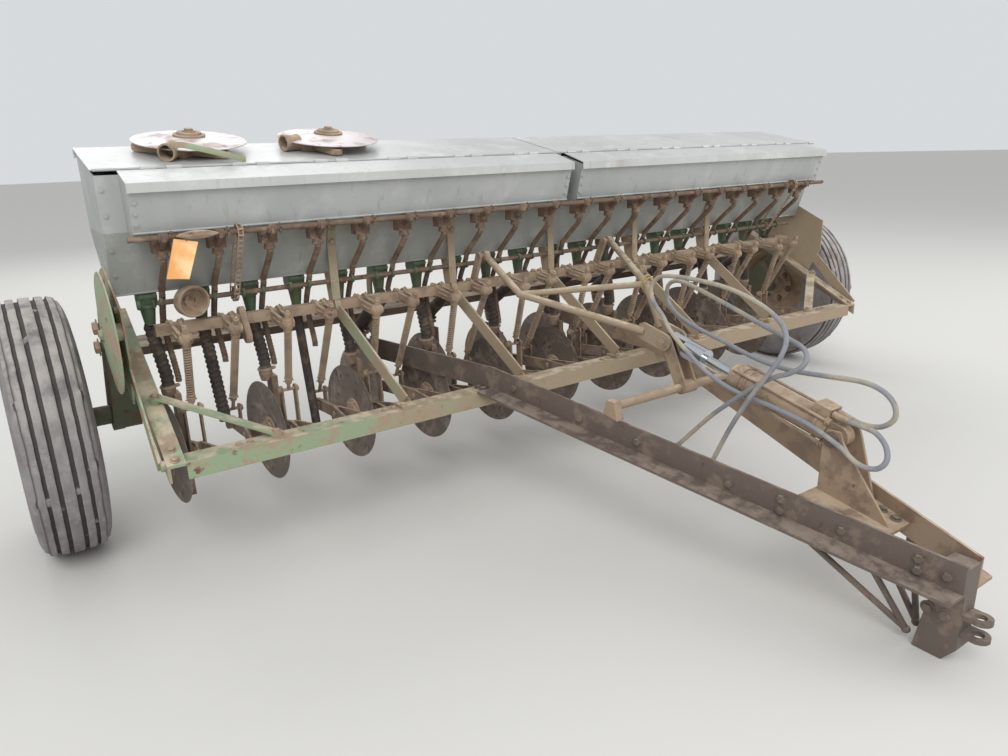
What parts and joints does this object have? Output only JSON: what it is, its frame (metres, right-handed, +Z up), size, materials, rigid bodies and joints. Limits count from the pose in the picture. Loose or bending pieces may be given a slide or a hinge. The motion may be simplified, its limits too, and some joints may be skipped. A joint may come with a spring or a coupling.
{
  "type": "seed drill",
  "caption": "Pull-type grain drill: long grain box with fertiliser hoppers in front, staggered rows of single-disc openers, end wheels and a tapered tongue.",
  "frame": {"origin": "middle of the footprint, on the ground", "axes": "+X along the grain box towards its right-hand end seen from behind, -Y the way the drill is pulled, +Z up"},
  "size_m": [3.842, 2.46, 1.2895],
  "materials": {
    "galvanised": "weathered galvanised sheet",
    "lid": "weathered galvanised sheet, pale and worn on top",
    "faded_green": "faded green enamel with dried mud",
    "strap_green": "dark green enamel, rubbed",
    "muddy_steel": "old paint under dried tan mud",
    "dark_steel": "dark brown rusted steel",
    "rusty_steel": "rusty steel",
    "disc_steel": "worn disc steel with mud",
    "tyre_rubber": "grey tyre rubber with dried mud",
    "rubber": "black rubber",
    "hose": "grey-blue hose cover",
    "worn_fittings": "dull plated fittings with mud",
    "chrome": "chromed rod",
    "wood": "grey weathered plank"
  },
  "bodies": {
    "frame": {"grain_box": "galvanised", "fertiliser_hoppers": "galvanised", "ridge_rod": "galvanised", "end_braces": "faded_green", "footboard": "wood", "front_member": "faded_green", "side_members": "faded_green", "corner_braces": "faded_green", "rear_hangers": "faded_green", "shaft_supports": "faded_green", "drawbar_rod": "muddy_steel", "tongue_left": "dark_steel", "tongue_right": "muddy_steel", "cylinder_bracket": "muddy_steel", "hitch_bracket": "dark_steel", "hitch_straps": "dark_steel", "hitch_braces": "dark_steel", "wheel_arms": "faded_green", "wheel_shield": "faded_green", "seed_cups": "strap_green", "fertiliser_feeds": "rusty_steel", "feed_shaft": "rusty_steel", "seed_shaft": "rusty_steel", "drive_chains": "rusty_steel", "seed_tubes_front": "rubber", "seed_tubes_rear": "rubber", "fertiliser_tubes_front": "rusty_steel", "fertiliser_tubes_rear": "rusty_steel"},
    "wheel_left": {"tyre_left": "tyre_rubber", "rim_left": "muddy_steel"},
    "wheel_right": {"tyre_right": "tyre_rubber", "rim_right": "muddy_steel"},
    "grain_lid_left": {"grain_lid_left": "lid", "loose_openers": "muddy_steel"},
    "grain_lid_right": {"grain_lid_right": "lid"},
    "fertiliser_lid_left": {"fertiliser_lid_left": "lid"},
    "fertiliser_lid_right": {"fertiliser_lid_right": "lid"},
    "rockshaft": {"rockshaft": "muddy_steel"},
    "gang_front": {"openers_front": "dark_steel", "discs_front": "disc_steel"},
    "gang_rear": {"openers_rear": "dark_steel", "discs_rear": "disc_steel"},
    "pressure_rods_front": {"pressure_rods_front": "muddy_steel"},
    "pressure_rods_rear": {"pressure_rods_rear": "muddy_steel"},
    "lift_lever": {"lift_lever": "muddy_steel"},
    "lift_yoke": {"lift_yoke": "faded_green"},
    "cylinder_barrel": {"cylinder_barrel": "muddy_steel", "hose_left": "hose", "hose_right": "hose", "hose_couplers": "worn_fittings"},
    "cylinder_rod": {"cylinder_rod": "chrome"}
  },
  "joints": [
    {"name": "wheel_left_turn", "type": "hinge", "parent": "frame", "child": "wheel_left", "pos_m": [-1.816, 0.825, 0.405], "axis": [1, 0, 0], "continuous": true},
    {"name": "wheel_right_turn", "type": "hinge", "parent": "frame", "child": "wheel_right", "pos_m": [1.816, 0.825, 0.405], "axis": [1, 0, 0], "continuous": true},
    {"name": "grain_lid_left_open", "type": "hinge", "parent": "frame", "child": "grain_lid_left", "pos_m": [-0.8, 0.532, 1.174], "axis": [1, 0, 0], "range_deg": [0, 55]},
    {"name": "grain_lid_right_open", "type": "hinge", "parent": "frame", "child": "grain_lid_right", "pos_m": [0.8, 0.532, 1.174], "axis": [1, 0, 0], "range_deg": [0, 55]},
    {"name": "fertiliser_lid_left_open", "type": "hinge", "parent": "frame", "child": "fertiliser_lid_left", "pos_m": [-0.8, 0.532, 1.174], "axis": [1, 0, 0], "range_deg": [-88, 0]},
    {"name": "fertiliser_lid_right_open", "type": "hinge", "parent": "frame", "child": "fertiliser_lid_right", "pos_m": [0.8, 0.532, 1.174], "axis": [1, 0, 0], "range_deg": [-88, 0]},
    {"name": "openers_lower", "type": "hinge", "parent": "frame", "child": "rockshaft", "pos_m": [0, 0.585, 0.705], "axis": [1, 0, 0], "range_deg": [0, 45]},
    {"name": "gang_front_swing", "type": "hinge", "parent": "frame", "child": "gang_front", "pos_m": [0, 0.27, 0.37], "axis": [1, 0, 0], "range_deg": [-20.61, 0], "deforming": ["seed_tubes_front", "fertiliser_tubes_front"]},
    {"name": "gang_rear_swing", "type": "hinge", "parent": "frame", "child": "gang_rear", "pos_m": [0, 0.27, 0.37], "axis": [1, 0, 0], "range_deg": [-12.83, 0], "deforming": ["seed_tubes_rear", "fertiliser_tubes_rear"]},
    {"name": "rods_front_swing", "type": "hinge", "parent": "rockshaft", "child": "pressure_rods_front", "pos_m": [0, 0.46367, 0.69225], "axis": [1, 0, 0], "range_deg": [-52.25, 0]},
    {"name": "rods_rear_swing", "type": "hinge", "parent": "rockshaft", "child": "pressure_rods_rear", "pos_m": [0, 0.49251, 0.69528], "axis": [1, 0, 0], "range_deg": [-52.24, 0]},
    {"name": "lever_swing", "type": "hinge", "parent": "frame", "child": "lift_lever", "pos_m": [-0.105, -0.247, 0.446], "axis": [1, 0, 0], "range_deg": [0, 35.64]},
    {"name": "yoke_swing", "type": "hinge", "parent": "rockshaft", "child": "lift_yoke", "pos_m": [-0.076, 0.533, 0.817], "axis": [1, 0, 0], "range_deg": [-52.32, 0]},
    {"name": "barrel_swing", "type": "hinge", "parent": "frame", "child": "cylinder_barrel", "pos_m": [-0.105, -0.789, 0.441], "axis": [1, 0, 0], "range_deg": [0, 4.45]},
    {"name": "rod_slide", "type": "slide", "parent": "cylinder_barrel", "child": "cylinder_rod", "axis": [0, 0.9735, 0.2287], "range_m": [-0.0855, 0]}
  ],
  "couplings": [
    {"joint": "gang_front_swing", "follows": "openers_lower", "ratio": -0.4468},
    {"joint": "gang_rear_swing", "follows": "openers_lower", "ratio": -0.2741},
    {"joint": "rods_front_swing", "follows": "openers_lower", "ratio": -1.1499},
    {"joint": "rods_rear_swing", "follows": "openers_lower", "ratio": -1.1498},
    {"joint": "lever_swing", "follows": "openers_lower", "ratio": 0.7808},
    {"joint": "yoke_swing", "follows": "openers_lower", "ratio": -1.1516},
    {"joint": "barrel_swing", "follows": "openers_lower", "ratio": 0.0944},
    {"joint": "rod_slide", "follows": "openers_lower", "m_per_rad": -0.1081}
  ]
}
